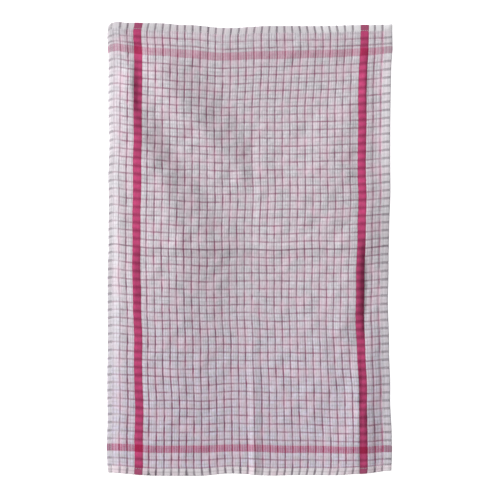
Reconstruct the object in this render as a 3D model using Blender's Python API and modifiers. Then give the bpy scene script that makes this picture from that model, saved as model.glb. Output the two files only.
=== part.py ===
"""A checked cotton tea towel, 45 x 70 cm, lying face up with the folds it was put away in.

Metres, +Z up. The cloth lies on the plane Z = 0, its length along Y and its width along X,
and the origin is the middle of its outline on that plane. The tables are in millimetres.
"""
from collections import namedtuple

import bpy
import numpy as np

MM = 0.001

# the cloth as it was cut and hemmed, and as it lies: the weave has drawn in across
CUT_WIDTH = 450.0
CUT_LENGTH = 700.0
LYING_WIDTH = 440.0
CLOTH_THICKNESS = 1.6
HEM_THICKNESS = 2.4  # the hems are turned over onto the upper face
LEFT_HEM = 7.5
RIGHT_HEM = 13.0
END_HEM = 11.6
HEM_STEP = 4.0  # width of the slope between the hem and the single cloth

# the mesh lines: each span runs on from the last one to its own end, in so many steps
Span = namedtuple("Span", "end steps")
ACROSS = (
    Span(end=-CUT_WIDTH / 2 + LEFT_HEM, steps=1),
    Span(end=-CUT_WIDTH / 2 + LEFT_HEM + HEM_STEP, steps=1),
    Span(end=-170, steps=5),
    Span(end=-16, steps=12),
    Span(end=20, steps=5),
    Span(end=158, steps=9),
    Span(end=190, steps=7),
    Span(end=CUT_WIDTH / 2 - RIGHT_HEM - HEM_STEP, steps=3),
    Span(end=CUT_WIDTH / 2 - RIGHT_HEM, steps=1),
    Span(end=CUT_WIDTH / 2, steps=2),
)
ALONG = (
    Span(end=-CUT_LENGTH / 2 + END_HEM, steps=1),
    Span(end=-CUT_LENGTH / 2 + END_HEM + HEM_STEP, steps=1),
    Span(end=-18, steps=18),
    Span(end=18, steps=6),
    Span(end=CUT_LENGTH / 2 - END_HEM - HEM_STEP, steps=20),
    Span(end=CUT_LENGTH / 2 - END_HEM, steps=1),
    Span(end=CUT_LENGTH / 2, steps=1),
)

# the uneven outline: how far the edge stands out from a straight one, place by place
Wave = namedtuple("Wave", "place out")
LEFT_EDGE = (
    Wave(350, 2.6), Wave(336, 3.8), Wave(300, 2.2), Wave(212, 2), Wave(150, 1.2), Wave(88, 1.2),
    Wave(0, 2), Wave(-50, 3.2), Wave(-250, 3.6), Wave(-350, 3.2),
)
RIGHT_EDGE = (
    Wave(350, 0.8), Wave(312, 0.8), Wave(274, -1.2), Wave(212, -3), Wave(88, -2.8), Wave(25, -4.6),
    Wave(-100, -5.8), Wave(-161, -4.6), Wave(-224, -2.6), Wave(-286, -0.4), Wave(-350, -0.6),
)
TOP_EDGE = (
    Wave(-225, -2), Wave(-219, 2.4), Wave(-212, 3.8), Wave(-198, 2.8), Wave(-150, 1.8), Wave(-100, -1.3),
    Wave(-40, -6), Wave(28, -3), Wave(190, -1.5), Wave(225, 0),
)
BOTTOM_EDGE = (
    Wave(-225, -1.5), Wave(-150, 3), Wave(-84, 3), Wave(-34, 0), Wave(40, 2.3),
    Wave(128, 2.3), Wave(177, 0), Wave(225, -5),
)

# the folds: ridges and, below zero, troughs, each along a line from start to end. bow, height,
# left and right are given at even steps along it: how far the line is bowed to its left, the
# height, and the reach of the two flanks. crest is 0 for a pressed crease and 1 for a round
# swell; foot is 1 where a flank meets the level cloth at an angle and 2 where it runs out softly.
Fold = namedtuple("Fold", "start end bow height left right crest foot")
FOLDS = {
    # the left margin, the level field beside it and the long lip that ends it
    "left margin": Fold(
        (-207, 330), (-196, -352), bow=(0,), height=(0, 1.9, 3.4, 4.3, 4.3, 3.9, 3.7, 3.5),
        left=(28, 36, 64, 100, 104, 104, 106, 106), right=(16, 18, 19, 17, 18, 22, 24, 26), crest=0.3,
        foot=1
    ),
    "left tuck": Fold(
        (-188, 302), (-185, 200), bow=(0,), height=(0, 1.2, 1.4, 1, 0), left=(9,), right=(20,), crest=0.1,
        foot=1
    ),
    "left bead": Fold(
        (-181, 26), (-181, -120), bow=(0,), height=(0, 1.3, 1.4, 1.2, 0), left=(12,), right=(12,),
        crest=0.2, foot=1
    ),
    "long lip": Fold(
        (-203, 346), (-98, -352), bow=(0, 1, 8, 36, 50, 36, 24, 13, 0),
        height=(2, 4.2, 6.4, 7.6, 8.2, 5.4, 4, 3, 2), left=(22, 27, 36, 55, 100, 96, 90, 86, 80),
        right=(30, 44, 50, 66, 84, 88, 90, 90, 90), crest=0.25, foot=1.15
    ),
    "diagonal ridge": Fold(
        (-184, 322), (18, 72), bow=(0, -4, 0, 3, 0), height=(0, 4.8, 7.8, 8.6, 6.7, 3.5, 0),
        left=(40, 56, 60, 58, 54, 44), right=(36, 62, 68, 58, 46, 36), crest=0.1, foot=1.1
    ),
    "left nick": Fold(
        (-174.5, 292), (-173, 190), bow=(0,), height=(0, -0.9, -1.5, -1.4, -0.8, 0), left=(20,),
        right=(7.5,), crest=0.1, foot=1
    ),
    "head slope": Fold(
        (-165, 315), (-78, 185), bow=(0,), height=(0, 2.8, 3, 1.8, 0), left=(76,), right=(100,),
        crest=0.2, foot=1
    ),
    # the upper right quarter, which rises from the middle crease to the right stripe
    "upper right field": Fold(
        (182, 300), (170, -60), bow=(0,), height=(0, 1.5, 3, 3.6, 3.6, 0), left=(130,), right=(200,),
        crest=0.4, foot=1.1
    ),
    "upper right swell": Fold(
        (200, 300), (84, 30), bow=(0, -8, 0), height=(0, 2.2, 2, 0), left=(60, 110, 110),
        right=(50, 54, 56), crest=0.4, foot=1.3
    ),
    "middle level": Fold(
        (-30, 90), (212, 90), bow=(0,), height=(0, 2, 2, 1.7, 0), left=(150,), right=(110,), crest=1,
        foot=1.6
    ),
    # the creases between the quarters, from the way it was put away
    "upper crease": Fold(
        (2, 330), (2, -4), bow=(0,), height=(0, -1, -1.3, -1.3, -1.6, 0), left=(14,), right=(26,),
        crest=0.2, foot=1.3
    ),
    "lower crease": Fold(
        (2, -8), (6, -362), bow=(0,), height=(0, 1.1, 1.5, 1.8, 2.4, 3.6), left=(16, 16, 16, 16, 15, 14),
        right=(13,), crest=0.12, foot=1.2
    ),
    "cross crease": Fold(
        (-218, 2), (214, 3), bow=(0, -2, 0), height=(0, 1.5, 1.9, 1.8, 1.6, 0), left=(18,), right=(12,),
        crest=0.12, foot=1.1
    ),
    # the lower right quarter, the right margin and the small folds along the right stripe
    "lower right swell": Fold(
        (150, 60), (98, -330), bow=(0, 12, 4, 0), height=(0, 2.6, 3.2, 2.8, 0), left=(60, 34, 30, 28),
        right=(140, 130, 100), crest=0.3, foot=1.1
    ),
    "right margin": Fold(
        (180, 60), (174, -356), bow=(0,), height=(0, 1, 2, 3.8, 4.6, 2.8), left=(40, 40, 36, 25),
        right=(40, 44, 50, 84), crest=0.5, foot=1
    ),
    "right curl": Fold(
        (224, 334), (223, 20), bow=(0,), height=(0, 3.2, 3.8, 3.6, 2.2, 0), left=(20,), right=(27,),
        crest=0.3, foot=1
    ),
    "right shelf": Fold(
        (167.5, 30), (167.5, -160), bow=(0,), height=(0, 1.2, 1.5, 1.5, 1.2, 0), left=(10,), right=(110,),
        crest=0.08, foot=1
    ),
    "right drop": Fold(
        (172.2, 24), (172.2, -150), bow=(0,), height=(0, 1, 1.3, 1.3, 1.1, 0), left=(4.5,), right=(50,),
        crest=0.1, foot=0.8
    ),
    "right gutter": Fold(
        (176.8, 12), (176.8, -150), bow=(0,), height=(0, -0.8, -1, -0.9, 0), left=(16,), right=(5,),
        crest=0.1, foot=1
    ),
    "right tuck": Fold(
        (167, -150), (167.2, -346), bow=(0,), height=(0, 1.6, 1.8, 1.5, 1.4, 1), left=(5,), right=(90,),
        crest=0.1, foot=1
    ),
    "foot tuck": Fold(
        (175.5, -240), (175, -334), bow=(0,), height=(0, 1.2, 0.8, 0.4, 0), left=(6,), right=(32,),
        crest=0.1, foot=1
    ),
    "head tuck": Fold(
        (179, 312), (176, 200), bow=(0,), height=(0, 1.3, 1.6, 1.1, 0), left=(5.5,), right=(9,),
        crest=0.1, foot=1
    ),
    "right hump": Fold(
        (181, 132), (180, 14), bow=(0,), height=(0, 1.2, 1.6, 1.7, 1.6, 0), left=(55,), right=(13,),
        crest=0.2, foot=1
    ),
    "right pucker": Fold(
        (165, 230), (164, 70), bow=(0,), height=(0, -1, -1, 0), left=(10,), right=(12,), crest=0.3,
        foot=1.3
    ),
    "top margin": Fold(
        (-130, 318), (214, 318), bow=(0,), height=(0, 2.4, 2.4, 2, 0), left=(34,), right=(46,), crest=0.5,
        foot=1.3
    ),
}
SLACK = 0.5  # what lies lower than this above the plane touches it
SETTLE = 0.8  # how softly the cloth comes down on the plane


def ease(share):
    """0 to 1 with a level start and end, for a share that may run past both."""
    share = np.clip(share, 0, 1)
    return share * share * (3 - 2 * share)


def between(ends, share):
    """A value that goes evenly from ends[0] to ends[1]."""
    return ends[0] + (ends[1] - ends[0]) * share


def curve_through(values, share):
    """A smooth run through values at even steps, for a share of the way from 0 to 1.

    Between two values it is the cubic whose slope at each is that of its two neighbours.
    """
    if len(values) == 1:
        return np.full(np.shape(share), float(values[0]))
    steps = len(values) - 1
    padded = np.array([2 * values[0] - values[1], *values, 2 * values[-1] - values[-2]], dtype=float)
    place = np.clip(share, 0, 1) * steps
    step = np.minimum(place.astype(int), steps - 1)
    t = place - step
    before, low, high, after = (padded[step + number] for number in range(4))
    slope_low, slope_high = (high - before) / 2, (after - low) / 2
    rise = high - low
    second = 3 * rise - 2 * slope_low - slope_high
    third = slope_low + slope_high - 2 * rise
    return low + t * slope_low + t**2 * second + t**3 * third


def fold_height(fold, x, y):
    """A ridge along a bowed line: a rounded tent across it, as high and wide as its columns say."""
    start, end = np.array(fold.start), np.array(fold.end)
    length = np.hypot(*(end - start))
    way_x, way_y = (end - start) / length
    share = ((x - start[0]) * way_x + (y - start[1]) * way_y) / length
    aside = (y - start[1]) * way_x - (x - start[0]) * way_y - curve_through(fold.bow, share)
    reach = np.where(aside > 0, curve_through(fold.left, share), curve_through(fold.right, share))
    full = np.hypot(1, fold.crest) - fold.crest
    down = (np.hypot(aside / reach, fold.crest) - fold.crest) / full
    tent = (1 - np.minimum(down, 1)) ** fold.foot
    return np.where((share > 0) & (share < 1), curve_through(fold.height, share), 0) * tent


def resting_height(x, y):
    """All folds together, let down until what is nearly level lies flat at 0."""
    height = sum(fold_height(fold, x, y) for fold in FOLDS.values())
    height = np.maximum(height - SLACK, 0)
    return height**2 / (height + SETTLE)


def edge_offset(edge, place):
    """The table's offsets, with an eased run from each row to the next."""
    rows = sorted(edge)
    offset = np.full(np.shape(place), float(rows[0].out))
    for low, high in zip(rows, rows[1:]):
        offset += (high.out - low.out) * ease((place - low.place) / (high.place - low.place))
    return offset


def lying_place(across, along):
    """Where a place on the cut cloth lies: the four uneven edges, blended evenly inwards."""
    left = -LYING_WIDTH / 2 - edge_offset(LEFT_EDGE, along)
    right = LYING_WIDTH / 2 + edge_offset(RIGHT_EDGE, along)
    bottom = -CUT_LENGTH / 2 - edge_offset(BOTTOM_EDGE, across)
    top = CUT_LENGTH / 2 + edge_offset(TOP_EDGE, across)
    x = between((left, right), across / CUT_WIDTH + 0.5)
    y = between((bottom, top), along / CUT_LENGTH + 0.5)
    return x, y


def mesh_lines(spans, first):
    """The places of the mesh lines, from first through each span in its equal steps."""
    lines = [first]
    for span in spans:
        lines += list(np.linspace(lines[-1], span.end, span.steps + 1)[1:])
    return np.array(lines)


def clear_scene():
    for thing in list(bpy.data.objects):
        bpy.data.objects.remove(thing)


def cloth_material():
    """White cotton, greyed a little by its wine-coloured check."""
    material = bpy.data.materials.new("checked cotton")
    material.use_nodes = True
    shader = material.node_tree.nodes["Principled BSDF"]
    shader.inputs["Base Color"].default_value = (0.50, 0.42, 0.47, 1)
    shader.inputs["Roughness"].default_value = 0.92
    shader.inputs["Metallic"].default_value = 0
    return material


def towel_cloth(collection):
    """The cloth and its turned hems: a grid laid on the folds, thickened upwards."""
    columns = mesh_lines(ACROSS, -CUT_WIDTH / 2)
    rows = mesh_lines(ALONG, -CUT_LENGTH / 2)
    steps_across, steps_along = len(columns) - 1, len(rows) - 1
    bpy.ops.mesh.primitive_grid_add(x_subdivisions=steps_across, y_subdivisions=steps_along, size=1)
    cloth = bpy.context.object
    cloth.name = "towel_cloth"
    for owner in list(cloth.users_collection):
        owner.objects.unlink(cloth)
    collection.objects.link(cloth)

    points = np.empty(len(cloth.data.vertices) * 3)
    cloth.data.vertices.foreach_get("co", points)
    points = points.reshape(-1, 3)
    across = columns[np.rint((points[:, 0] + 0.5) * steps_across).astype(int)]
    along = rows[np.rint((points[:, 1] + 0.5) * steps_along).astype(int)]
    x, y = lying_place(across, along)
    laid = np.stack([x, y, resting_height(x, y)], axis=1) * MM
    cloth.data.vertices.foreach_set("co", laid.ravel())
    cloth.data.update()

    in_end_hem = np.abs(along) >= CUT_LENGTH / 2 - END_HEM
    in_left_hem = across <= -CUT_WIDTH / 2 + LEFT_HEM
    in_right_hem = across >= CUT_WIDTH / 2 - RIGHT_HEM
    hem = cloth.vertex_groups.new(name="hem")
    hem.add(np.flatnonzero(in_end_hem | in_left_hem | in_right_hem).tolist(), 1, "REPLACE")

    body = cloth.modifiers.new("cloth", "SOLIDIFY")
    body.thickness = HEM_THICKNESS * MM
    body.offset = 1
    body.vertex_group = hem.name
    body.thickness_vertex_group = CLOTH_THICKNESS / HEM_THICKNESS
    cloth.data.materials.append(cloth_material())
    cloth.data.shade_smooth()
    return cloth


def main():
    clear_scene()
    collection = bpy.data.collections.new("tea towel")
    bpy.context.scene.collection.children.link(collection)
    towel_cloth(collection)


main()
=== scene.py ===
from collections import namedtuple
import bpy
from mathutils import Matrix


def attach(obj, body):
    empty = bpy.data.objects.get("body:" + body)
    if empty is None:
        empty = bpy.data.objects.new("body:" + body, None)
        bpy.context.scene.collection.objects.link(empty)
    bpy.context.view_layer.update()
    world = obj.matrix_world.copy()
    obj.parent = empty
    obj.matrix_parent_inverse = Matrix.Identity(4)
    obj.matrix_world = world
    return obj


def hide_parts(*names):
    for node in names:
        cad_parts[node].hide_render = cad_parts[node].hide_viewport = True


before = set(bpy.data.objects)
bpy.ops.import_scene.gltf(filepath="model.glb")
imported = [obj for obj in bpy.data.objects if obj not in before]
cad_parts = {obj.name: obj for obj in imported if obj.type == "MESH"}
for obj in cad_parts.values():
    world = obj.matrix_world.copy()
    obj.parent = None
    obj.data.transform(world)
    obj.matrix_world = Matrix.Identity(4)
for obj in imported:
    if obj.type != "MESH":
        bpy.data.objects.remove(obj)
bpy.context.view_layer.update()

# A checked cotton tea towel lying face up. The shape's tables are in millimetres, as in the
# cloth's own plan: across it from left to right, along it from foot to head, 0 in the middle.
from types import SimpleNamespace

import bpy
import numpy as np
from mathutils import Vector

MM = 0.001
RANDOM = np.random.default_rng(7)

# ------ the cloth's sizes
CUT_WIDTH = 450.0
CUT_LENGTH = 700.0
LYING_WIDTH = 440.0
GROUND = 1.3  # thickness of the flat ground weave
PUFF = 0.26  # how far the loops of a cell stand over it
HEM_THICKNESS = 1.95  # the cloth's edge, turned over onto its face twice and stitched
CORNER_THICKNESS = 0.6  # what a corner has more, where two hems lie over each other
LEFT_HEM = 7.5
RIGHT_HEM = 13.0
END_HEM = 11.6
SEAM = 1.7  # how far the stitching lies in from the hem's inner edge

# ------ the check
LINE_WIDTH = 2.5
LINES_ACROSS, PITCH_ACROSS, FIRST_ACROSS = 28, 12.1, -163.35
LINES_ALONG, PITCH_ALONG, FIRST_ALONG = 48, 12.366, -295.1
OUTER_LINES_ACROSS = (-206.8, -195.6, 198.8, 210.2)
OUTER_LINES_ALONG = (-337.2, -325.3, 315.6, 327.0)
STRIPE_WIDTH = 13.2
STRIPES = (-179.0, 182.2)
Band = namedtuple("Band", "middle width strength")
END_BANDS = (Band(-308.6, 11.4, 0.62), Band(304.4, 12.4, 0.44))
CREASE_ALONG, CREASE_WIDTH = 1.7, 2.2  # the middle crease across, where painted shade greys its line
TURNED_LINE = -344.0

# ------ the outline
# how far the edge stands out from a straight one, place by place
Wave = namedtuple("Wave", "place out")
LEFT_EDGE = (
    Wave(350, 2.6), Wave(336, 3.8), Wave(300, 2.2), Wave(212, 2), Wave(150, 1.2), Wave(88, 1.2),
    Wave(0, 2), Wave(-50, 3.2), Wave(-250, 3.6), Wave(-350, 3.2),
)
RIGHT_EDGE = (
    Wave(350, 0.8), Wave(312, 0.8), Wave(274, -1.2), Wave(212, -3), Wave(88, -2.8), Wave(25, -4.6),
    Wave(-100, -5.8), Wave(-161, -4.6), Wave(-224, -2.6), Wave(-286, -0.4), Wave(-350, -0.6),
)
TOP_EDGE = (
    Wave(-225, -2), Wave(-219, 2.4), Wave(-212, 3.8), Wave(-198, 2.8), Wave(-150, 1.8), Wave(-100, -1.3),
    Wave(-40, -6), Wave(28, -3), Wave(190, -1.5), Wave(225, 0),
)
BOTTOM_EDGE = (
    Wave(-225, -1.5), Wave(-150, 3), Wave(-84, 3), Wave(-34, 0), Wave(40, 2.3),
    Wave(128, 2.3), Wave(177, 0), Wave(225, -5),
)

LEFT_PULL = (
    Wave(350, 0), Wave(338, 0.4), Wave(300, 7), Wave(200, 6.8), Wave(100, 4.8), Wave(0, 4),
    Wave(-60, 1.8), Wave(-250, -0.6), Wave(-350, 0),
)
RIGHT_PULL = (
    Wave(350, 0), Wave(338, 0.8), Wave(296, 5.6), Wave(250, 4.4), Wave(200, 2.6), Wave(100, 1.2),
    Wave(10, 0), Wave(-60, -3), Wave(-150, -5.2), Wave(-200, -5.4), Wave(-300, -7.6), Wave(-325, -6),
    Wave(-340, -1.8), Wave(-350, 0),
)
# how far the columns of the check have moved to the right, at these places across the cloth
COLUMN_DRIFT = {
    -201: (
        Wave(350, 2.6), Wave(274, 3.2), Wave(212, 2.5), Wave(150, 0.4), Wave(88, -0.5), Wave(25, -1.2),
        Wave(-37, 0.6), Wave(-99, 3.8), Wave(-161, 2.4), Wave(-224, 4.3), Wave(-286, 2.3), Wave(-350, 2.1),
    ),
    -180: (
        Wave(350, 2.4), Wave(212, 2.3), Wave(130, 0.9), Wave(63, -0.5), Wave(-12, 0.3), Wave(-87, 2.7),
        Wave(-161, 3.7), Wave(-236, 5.6), Wave(-350, 4.2),
    ),
    -60: (
        Wave(350, 0.4), Wave(287, 0), Wave(212, -1.2), Wave(63, -0.2), Wave(-12, 0), Wave(-87, 1.4),
        Wave(-161, 3.3), Wave(-350, 3.6),
    ),
    90: (
        Wave(350, 1), Wave(287, 0.9), Wave(212, -1.7), Wave(137, -1.6), Wave(63, -1.1), Wave(-87, -0.3),
        Wave(-161, 0.9), Wave(-350, 1.8),
    ),
    163: (
        Wave(350, -0.8), Wave(250, -2), Wave(185, -2.5), Wave(110, -2.8), Wave(35, -1.1), Wave(-40, -3),
        Wave(-110, -2.6), Wave(-180, -1.2), Wave(-235, 1.2), Wave(-350, 1),
    ),
    183: (
        Wave(350, -1), Wave(250, -2.4), Wave(185, -2.6), Wave(110, -3), Wave(35, -1.2), Wave(-40, -3.3),
        Wave(-110, -2.9), Wave(-180, -1.7), Wave(-226, -1.5), Wave(-300, -2.8), Wave(-350, -2.8),
    ),
    200: (Wave(350, -1.6), Wave(60, -1.6), Wave(-60, -1.1), Wave(-350, -0.5)),
}
# how far the check has slipped sideways in the turned end hems, at the cloth's edge
HEAD_SLIP = (
    Wave(-225, 0), Wave(-160, 1.4), Wave(-110, -0.6), Wave(0, 0.8), Wave(120, -2.8), Wave(172, -0.4),
    Wave(225, 0),
)
FOOT_SLIP = (
    Wave(-225, 0), Wave(-150, -0.8), Wave(-60, 1.2), Wave(60, -1.4), Wave(140, -2.4), Wave(176, -0.4),
    Wave(225, 0),
)

# ------ the folds
# Ridges and, below zero, troughs, each along a line from start to end. height, left, right and
# bow are given at even steps along it: the height, the reach of the two flanks, and how far the
# line is bowed to its left; a single number holds all along. crest is 0 for a pressed crease and
# 1 for a round swell; foot is 1 where a flank meets the level cloth at an angle and 2 where it
# runs out softly.
Fold = namedtuple("Fold", "start end height left right bow crest foot", defaults=(0, 0.1, 1))
FOLDS = {
    # the left margin, the level field beside it and the long lip that ends it
    "left margin": Fold(
        (-207, 330), (-196, -352), height=(0, 1.9, 3.4, 4.3, 4.3, 3.9, 3.7, 3.5),
        left=(28, 36, 64, 100, 104, 104, 106, 106), right=(16, 18, 19, 17, 18, 22, 24, 26), crest=0.3
    ),
    "left tuck": Fold((-188, 302), (-185, 200), height=(0, 1.2, 1.4, 1, 0), left=9, right=20),
    "left bead": Fold(
        (-181, 26), (-181, -120), height=(0, 1.3, 1.4, 1.2, 0), left=12, right=12, crest=0.2
    ),
    "long lip": Fold(
        (-203, 346), (-98, -352), height=(2, 4.2, 6.4, 7.6, 8.2, 5.4, 4, 3, 2),
        left=(22, 27, 36, 55, 100, 96, 90, 86, 80), right=(30, 44, 50, 66, 84, 88, 90, 90, 90),
        bow=(0, 1, 8, 36, 50, 36, 24, 13, 0), crest=0.25, foot=1.15
    ),
    "diagonal ridge": Fold(
        (-184, 322), (18, 72), height=(0, 4.8, 7.8, 8.6, 6.7, 3.5, 0), left=(40, 56, 60, 58, 54, 44),
        right=(36, 62, 68, 58, 46, 36), bow=(0, -4, 0, 3, 0), foot=1.1
    ),
    "left nick": Fold(
        (-174.5, 292), (-173, 190), height=(0, -0.9, -1.5, -1.4, -0.8, 0), left=20, right=7.5
    ),
    "head slope": Fold(
        (-165, 315), (-78, 185), height=(0, 2.8, 3, 1.8, 0), left=76, right=100, crest=0.2
    ),
    # the upper right quarter, which rises from the middle crease to the right stripe
    "upper right field": Fold(
        (182, 300), (170, -60), height=(0, 1.5, 3, 3.6, 3.6, 0), left=130, right=200, crest=0.4, foot=1.1
    ),
    "upper right swell": Fold(
        (200, 300), (84, 30), height=(0, 2.2, 2, 0), left=(60, 110, 110), right=(50, 54, 56),
        bow=(0, -8, 0), crest=0.4, foot=1.3
    ),
    "middle level": Fold(
        (-30, 90), (212, 90), height=(0, 2, 2, 1.7, 0), left=150, right=110, crest=1, foot=1.6
    ),
    # the creases between the quarters, from the way it was put away
    "upper crease": Fold(
        (2, 330), (2, -4), height=(0, -1, -1.3, -1.3, -1.6, 0), left=14, right=26, crest=0.2, foot=1.3
    ),
    "lower crease": Fold(
        (2, -8), (6, -362), height=(0, 1.1, 1.5, 1.8, 2.4, 3.6), left=(16, 16, 16, 16, 15, 14), right=13,
        crest=0.12, foot=1.2
    ),
    "cross crease": Fold(
        (-218, 2), (214, 3), height=(0, 1.5, 1.9, 1.8, 1.6, 0), left=18, right=12, bow=(0, -2, 0),
        crest=0.12, foot=1.1
    ),
    # the lower right quarter, the right margin and the small folds along the right stripe
    "lower right swell": Fold(
        (150, 60), (98, -330), height=(0, 2.6, 3.2, 2.8, 0), left=(60, 34, 30, 28),
        right=(140, 130, 100), bow=(0, 12, 4, 0), crest=0.3, foot=1.1
    ),
    "right margin": Fold(
        (180, 60), (174, -356), height=(0, 1, 2, 3.8, 4.6, 2.8), left=(40, 40, 36, 25),
        right=(40, 44, 50, 84), crest=0.5
    ),
    "right curl": Fold(
        (224, 334), (223, 20), height=(0, 3.2, 3.8, 3.6, 2.2, 0), left=20, right=27, crest=0.3
    ),
    "right shelf": Fold(
        (167.5, 30), (167.5, -160), height=(0, 1.2, 1.5, 1.5, 1.2, 0), left=10, right=110, crest=0.08
    ),
    "right drop": Fold(
        (172.2, 24), (172.2, -150), height=(0, 1, 1.3, 1.3, 1.1, 0), left=4.5, right=50, foot=0.8
    ),
    "right gutter": Fold((176.8, 12), (176.8, -150), height=(0, -0.8, -1, -0.9, 0), left=16, right=5),
    "right tuck": Fold((167, -150), (167.2, -346), height=(0, 1.6, 1.8, 1.5, 1.4, 1), left=5, right=90),
    "foot tuck": Fold((175.5, -240), (175, -334), height=(0, 1.2, 0.8, 0.4, 0), left=6, right=32),
    "head tuck": Fold((179, 312), (176, 200), height=(0, 1.3, 1.6, 1.1, 0), left=5.5, right=9),
    "right hump": Fold(
        (181, 132), (180, 14), height=(0, 1.2, 1.6, 1.7, 1.6, 0), left=55, right=13, crest=0.2
    ),
    "right pucker": Fold(
        (165, 230), (164, 70), height=(0, -1, -1, 0), left=10, right=12, crest=0.3, foot=1.3
    ),
    "top margin": Fold(
        (-130, 318), (214, 318), height=(0, 2.4, 2.4, 2, 0), left=34, right=46, crest=0.5, foot=1.3
    ),
}
SLACK = 0.5  # what lies lower than this above the floor touches it
SETTLE = 0.8  # how softly the cloth comes down on the floor


def ease(share):
    """0 to 1 with a level start and end, for a share that may run past both."""
    share = np.clip(share, 0, 1)
    return share * share * (3 - 2 * share)


def between(ends, share):
    """A value that goes evenly from ends[0] to ends[1]."""
    return ends[0] + (ends[1] - ends[0]) * share


def curve_through(values, share):
    """A smooth run through values at even steps, for a share of the way from 0 to 1.

    Between two values it is the cubic whose slope at each is that of its two neighbours. A
    single number stays the same all the way.
    """
    if not isinstance(values, tuple):
        return np.full(np.shape(share), float(values))
    steps = len(values) - 1
    padded = np.array([2 * values[0] - values[1], *values, 2 * values[-1] - values[-2]], dtype=float)
    place = np.clip(share, 0, 1) * steps
    step = np.minimum(place.astype(int), steps - 1)
    t = place - step
    before, low, high, after = (padded[step + number] for number in range(4))
    slope_low, slope_high = (high - before) / 2, (after - low) / 2
    rise = high - low
    second = 3 * rise - 2 * slope_low - slope_high
    third = slope_low + slope_high - 2 * rise
    return low + t * slope_low + t**2 * second + t**3 * third


def fold_height(fold, x, y):
    """A ridge along a bowed line: a rounded tent across it, as high and wide as its columns say."""
    start, end = np.array(fold.start), np.array(fold.end)
    length = np.hypot(*(end - start))
    way_x, way_y = (end - start) / length
    share = ((x - start[0]) * way_x + (y - start[1]) * way_y) / length
    aside = (y - start[1]) * way_x - (x - start[0]) * way_y - curve_through(fold.bow, share)
    reach = np.where(aside > 0, curve_through(fold.left, share), curve_through(fold.right, share))
    full = np.hypot(1, fold.crest) - fold.crest
    down = (np.hypot(aside / reach, fold.crest) - fold.crest) / full
    tent = (1 - np.minimum(down, 1)) ** fold.foot
    return np.where((share > 0) & (share < 1), curve_through(fold.height, share), 0) * tent


def resting_height(x, y, unevenness):
    """All folds together, let down until what is nearly level lies flat at 0."""
    height = sum(fold_height(fold, x, y) for fold in FOLDS.values()) + unevenness
    height = np.maximum(height - SLACK, 0)
    return height**2 / (height + SETTLE)


def edge_offset(edge, place):
    """The table's offsets, with an eased run from each row to the next."""
    rows = sorted(edge)
    offset = np.full(np.shape(place), float(rows[0].out))
    for low, high in zip(rows, rows[1:]):
        offset += (high.out - low.out) * ease((place - low.place) / (high.place - low.place))
    return offset


def column_drift(across, along):
    """The drift of the columns, eased from each place of the table to the next and to the edges."""
    places = [-CUT_WIDTH / 2, *COLUMN_DRIFT, CUT_WIDTH / 2]
    offsets = [0, *(edge_offset(waves, along) for waves in COLUMN_DRIFT.values()), 0]
    total = 0
    for low, high, at_low, at_high in zip(places, places[1:], offsets, offsets[1:]):
        share = (across - low) / (high - low)
        here = (share >= 0) & (share < 1)
        total = total + np.where(here, between((at_low, at_high), ease(share)), 0)
    return total


RIPPLE_WAVES = 14
SHORTEST_WAVE, LONGEST_WAVE = 0.7, 1.6  # as shares of a ripple's reach


def ripple(x, y, reach):
    """Seeded unevenness of about unit size: a sum of plane waves, near reach long, each way."""
    turn = RANDOM.uniform(0, 2 * np.pi, RIPPLE_WAVES)
    length = reach * RANDOM.uniform(SHORTEST_WAVE, LONGEST_WAVE, RIPPLE_WAVES)
    phase = RANDOM.uniform(0, 2 * np.pi, RIPPLE_WAVES)
    total = sum(
        np.cos((x * np.cos(a) + y * np.sin(a)) * 2 * np.pi / w + p) for a, w, p in zip(turn, length, phase)
    )
    return total / np.sqrt(RIPPLE_WAVES / 2)


CLEAR_OF_SIDE_HEM, CLEAR_OF_END_HEM = 1, 2


def grooves_across():
    """Where the weave sinks, across: at the side hems, each line and each stripe's two sides."""
    lines = FIRST_ACROSS + PITCH_ACROSS * np.arange(LINES_ACROSS)
    stripe_sides = [middle + side * STRIPE_WIDTH / 2 for middle in STRIPES for side in (-1, 1)]
    hems = [-CUT_WIDTH / 2 + LEFT_HEM, CUT_WIDTH / 2 - RIGHT_HEM]
    near, far = hems[0] + CLEAR_OF_SIDE_HEM, hems[1] - CLEAR_OF_SIDE_HEM
    inside = [place for place in OUTER_LINES_ACROSS if near < place < far]
    return np.sort(np.concatenate([lines, stripe_sides, hems, inside]))


def grooves_along():
    """Where the weave sinks, along: at the end hems, each line and each band's two sides."""
    lines = FIRST_ALONG + PITCH_ALONG * np.arange(LINES_ALONG)
    band_sides = [band.middle + side * band.width / 2 for band in END_BANDS for side in (-1, 1)]
    hems = [-CUT_LENGTH / 2 + END_HEM, CUT_LENGTH / 2 - END_HEM]
    near, far = hems[0] + CLEAR_OF_END_HEM, hems[1] - CLEAR_OF_END_HEM
    inside = [place for place in OUTER_LINES_ALONG if near < place < far]
    return np.sort(np.concatenate([lines, band_sides, hems, inside]))


# mesh lines inside a cell, as a distance from its near or far groove or a share of its width
FOOT, SHOULDER = 0.9, 2.1
CREST = 0.36
NARROWEST_CELL = 3 * SHOULDER  # a narrower one has a single mesh line, in its middle
# mesh lines in a hem, as distances in from the cloth's edge and back from the hem's inner edge
EDGE_STEP, EDGE_ROUNDING = 0.4, 1.1
INNER_STEP = 0.5
RIBBED_CELL = 9  # a cell at least this wide has two ribs of loops
RIB_DIP, RIB_DIP_REACH = 0.22, 1.3  # the line between them: how much lower, and half its width


def hem_lines(hem):
    """Mesh lines in a hem, as distances in from the edge: three round it off, one is its seam."""
    halfway = (EDGE_ROUNDING + hem - SEAM) / 2
    return [0, EDGE_STEP, EDGE_ROUNDING, halfway, hem - SEAM, hem - INNER_STEP]


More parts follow.
